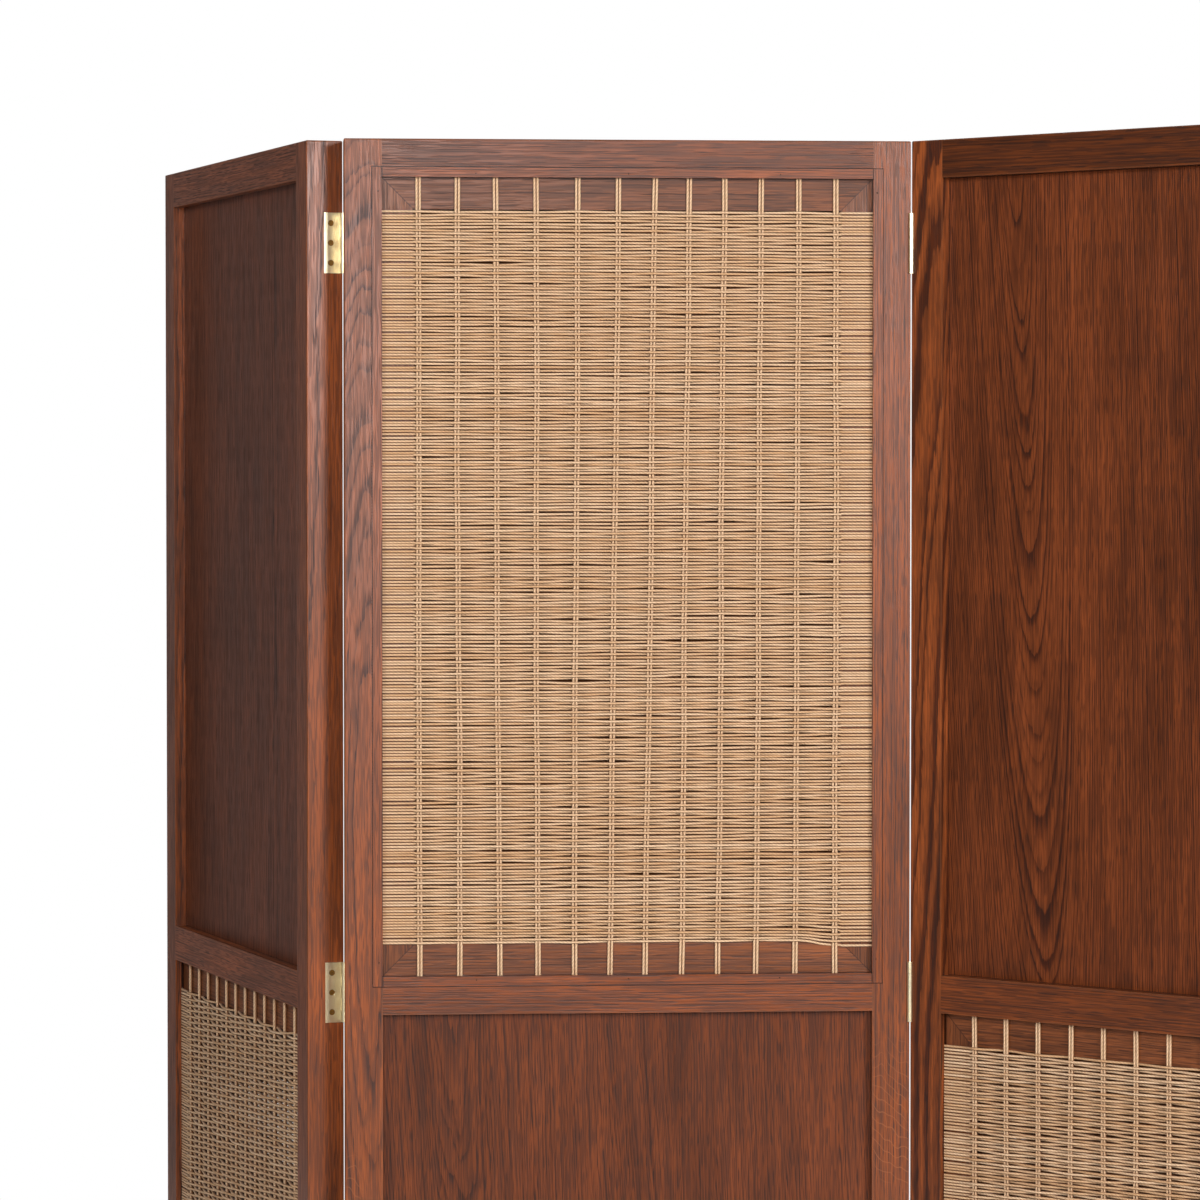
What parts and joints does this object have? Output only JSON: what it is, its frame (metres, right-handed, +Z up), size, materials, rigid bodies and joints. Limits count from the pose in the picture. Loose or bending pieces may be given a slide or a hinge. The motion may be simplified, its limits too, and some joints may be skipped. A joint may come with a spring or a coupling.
{
  "type": "folding partition screen",
  "caption": "Free-standing folding room screen in stained oak, with flat veneered and woven cord bays that alternate from leaf to leaf, hinged in a zigzag.",
  "frame": {"origin": "centre of the screen's box on the floor, as it stands with its leaves part folded", "axes": "+Z up; X along the middle leaf, from the left leaf to the right leaf; the middle leaf's beaded face looks along -Y"},
  "size_m": [1.2598, 1.0334, 1.81],
  "materials": {
    "stained_oak": "walnut stain, satin lacquer",
    "oak_veneer": "walnut stain, satin lacquer",
    "inner_oak": "walnut stain, satin lacquer",
    "paper_cord": "natural twisted cord",
    "brass": "polished",
    "steel_pin": "bare steel",
    "glide": "nylon"
  },
  "bodies": {
    "middle_leaf": {"left_hinge_pins": "brass", "left_hinge_plates_on_middle": "brass", "left_hinge_screws_on_middle": "brass", "middle_leaf_bead_pins": "steel_pin", "middle_leaf_bottom_rail": "stained_oak", "middle_leaf_floor_glides": "glide", "middle_leaf_inner_bottom_rail": "inner_oak", "middle_leaf_inner_left_stile": "inner_oak", "middle_leaf_inner_right_stile": "inner_oak", "middle_leaf_inner_top_rail": "inner_oak", "middle_leaf_left_stile": "stained_oak", "middle_leaf_middle_rail": "stained_oak", "middle_leaf_right_stile": "stained_oak", "middle_leaf_stop_beads": "stained_oak", "middle_leaf_top_rail": "stained_oak", "middle_leaf_veneered_panel": "oak_veneer", "middle_leaf_warp_cord": "paper_cord", "middle_leaf_weft_mat": "paper_cord", "right_hinge_pins": "brass", "right_hinge_plates_on_middle": "brass", "right_hinge_screws_on_middle": "brass"},
    "left_leaf": {"left_hinge_plates_on_left": "brass", "left_hinge_screws_on_left": "brass", "left_leaf_bead_pins": "steel_pin", "left_leaf_bottom_rail": "stained_oak", "left_leaf_floor_glides": "glide", "left_leaf_inner_bottom_rail": "inner_oak", "left_leaf_inner_left_stile": "inner_oak", "left_leaf_inner_right_stile": "inner_oak", "left_leaf_inner_top_rail": "inner_oak", "left_leaf_left_stile": "stained_oak", "left_leaf_middle_rail": "stained_oak", "left_leaf_right_stile": "stained_oak", "left_leaf_stop_beads": "stained_oak", "left_leaf_top_rail": "stained_oak", "left_leaf_veneered_panel": "oak_veneer", "left_leaf_warp_cord": "paper_cord", "left_leaf_weft_mat": "paper_cord"},
    "right_leaf": {"right_hinge_plates_on_right": "brass", "right_hinge_screws_on_right": "brass", "right_leaf_bead_pins": "steel_pin", "right_leaf_bottom_rail": "stained_oak", "right_leaf_floor_glides": "glide", "right_leaf_inner_bottom_rail": "inner_oak", "right_leaf_inner_left_stile": "inner_oak", "right_leaf_inner_right_stile": "inner_oak", "right_leaf_inner_top_rail": "inner_oak", "right_leaf_left_stile": "stained_oak", "right_leaf_middle_rail": "stained_oak", "right_leaf_right_stile": "stained_oak", "right_leaf_stop_beads": "stained_oak", "right_leaf_top_rail": "stained_oak", "right_leaf_veneered_panel": "oak_veneer", "right_leaf_warp_cord": "paper_cord", "right_leaf_weft_mat": "paper_cord"}
  },
  "joints": [
    {"name": "left_fold", "type": "hinge", "parent": "middle_leaf", "child": "left_leaf", "pos_m": [-0.43012, -0.06093, 0.9], "axis": [0, 0, -1], "range_deg": [-74.4, 105.6]},
    {"name": "right_fold", "type": "hinge", "parent": "middle_leaf", "child": "right_leaf", "pos_m": [0.17019, -0.10133, 0.9], "axis": [0, 0, -1], "range_deg": [-43.9, 136.1]}
  ]
}
